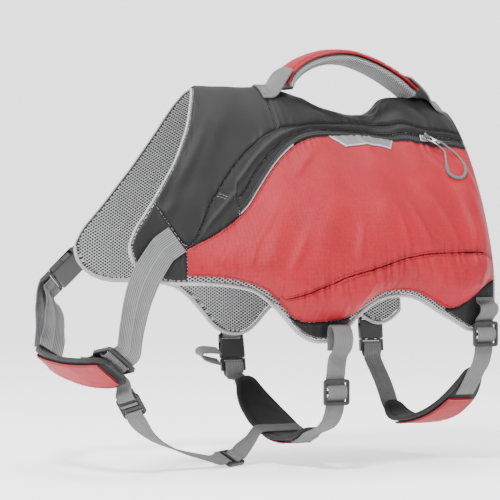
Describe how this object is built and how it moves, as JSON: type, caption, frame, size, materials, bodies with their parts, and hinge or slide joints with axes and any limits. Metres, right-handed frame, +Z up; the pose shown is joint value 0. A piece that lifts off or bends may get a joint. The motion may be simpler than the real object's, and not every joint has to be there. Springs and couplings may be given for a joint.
{
  "type": "dog life jacket",
  "caption": "Saddle-shaped dog life jacket, hollow as worn, with zipped side pockets, a padded lift handle, a chest band and padded belly bands.",
  "frame": {"origin": "on the lining's underside on the ridge of the back, below the middle of the handle", "axes": "+X towards the tail, +Z up, -Y to the dog's left, the near side of the picture"},
  "size_m": [0.4337, 0.258, 0.4127],
  "materials": {
    "spacer_mesh": "light grey spacer mesh with an open face",
    "charcoal_nylon": "matt woven nylon",
    "red_nylon": "ripstop-like nylon with a soft sheen",
    "zip_tape": "matt tape with coil teeth",
    "reflective_fabric": "satin silver grey",
    "light_piping": "light twisted cord",
    "zip_metal": "worn steel",
    "pull_cord": "thin cord",
    "grey_webbing": "woven webbing",
    "ribbed_elastic": "ribbed elastic webbing",
    "black_plastic": "moulded, satin",
    "black_padding": "black knitted face with a bound edge"
  },
  "bodies": {
    "jacket": {"lining": "spacer_mesh", "handle_pad": "spacer_mesh", "yoke": "charcoal_nylon", "top_panel": "charcoal_nylon", "chest_panel_L": "charcoal_nylon", "chest_panel_R": "charcoal_nylon", "gusset_L": "charcoal_nylon", "gusset_R": "charcoal_nylon", "tab_front_L": "charcoal_nylon", "tab_front_R": "charcoal_nylon", "tab_rear_L": "charcoal_nylon", "tab_rear_R": "charcoal_nylon", "pocket_L": "red_nylon", "pocket_R": "red_nylon", "pocket_lower_L": "red_nylon", "pocket_lower_R": "red_nylon", "handle_cover": "red_nylon", "belly_front_pad_cover": "red_nylon", "belly_rear_pad_cover": "red_nylon", "chest_pad_cover": "red_nylon", "zip_L": "zip_tape", "zip_R": "zip_tape", "patch_L": "reflective_fabric", "patch_R": "reflective_fabric", "edge_piping": "light_piping", "slider_L": "zip_metal", "slider_R": "zip_metal", "handle_web_front": "grey_webbing", "handle_web_rear": "grey_webbing", "belly_front_web_near": "grey_webbing", "belly_front_web_far": "grey_webbing", "belly_front_web_buckle": "grey_webbing", "belly_front_tail": "grey_webbing", "belly_rear_web_near": "grey_webbing", "belly_rear_web_far": "grey_webbing", "belly_rear_web_buckle": "grey_webbing", "link_web_top": "grey_webbing", "link_web": "grey_webbing", "chest_web_near": "ribbed_elastic", "chest_web_far": "ribbed_elastic", "chest_web_buckle": "ribbed_elastic", "belly_front_glide": "black_plastic", "belly_rear_glide": "black_plastic", "chest_adjuster": "black_plastic", "link_lock": "black_plastic", "link_glide": "black_plastic", "belly_front_buckle_female": "black_plastic", "belly_front_buckle_male": "black_plastic", "belly_rear_buckle_female": "black_plastic", "belly_rear_buckle_male": "black_plastic", "chest_buckle_female": "black_plastic", "chest_buckle_male": "black_plastic", "belly_front_pad_body": "black_padding", "belly_rear_pad_body": "black_padding", "chest_pad_body": "black_padding"},
    "pull_L": {"pull_tab_L": "zip_metal", "pull_cord_L": "pull_cord"},
    "pull_R": {"pull_tab_R": "zip_metal", "pull_cord_R": "pull_cord"}
  },
  "joints": [
    {"name": "zip_pull_L", "type": "hinge", "parent": "jacket", "child": "pull_L", "pos_m": [0.0823, -0.0488, -0.0214], "axis": [-0.7232, -0.3968, -0.5653], "range_deg": [0, 120]},
    {"name": "zip_pull_R", "type": "hinge", "parent": "jacket", "child": "pull_R", "pos_m": [0.0823, 0.0488, -0.0214], "axis": [0.7232, -0.3968, 0.5653], "range_deg": [0, 120]}
  ]
}
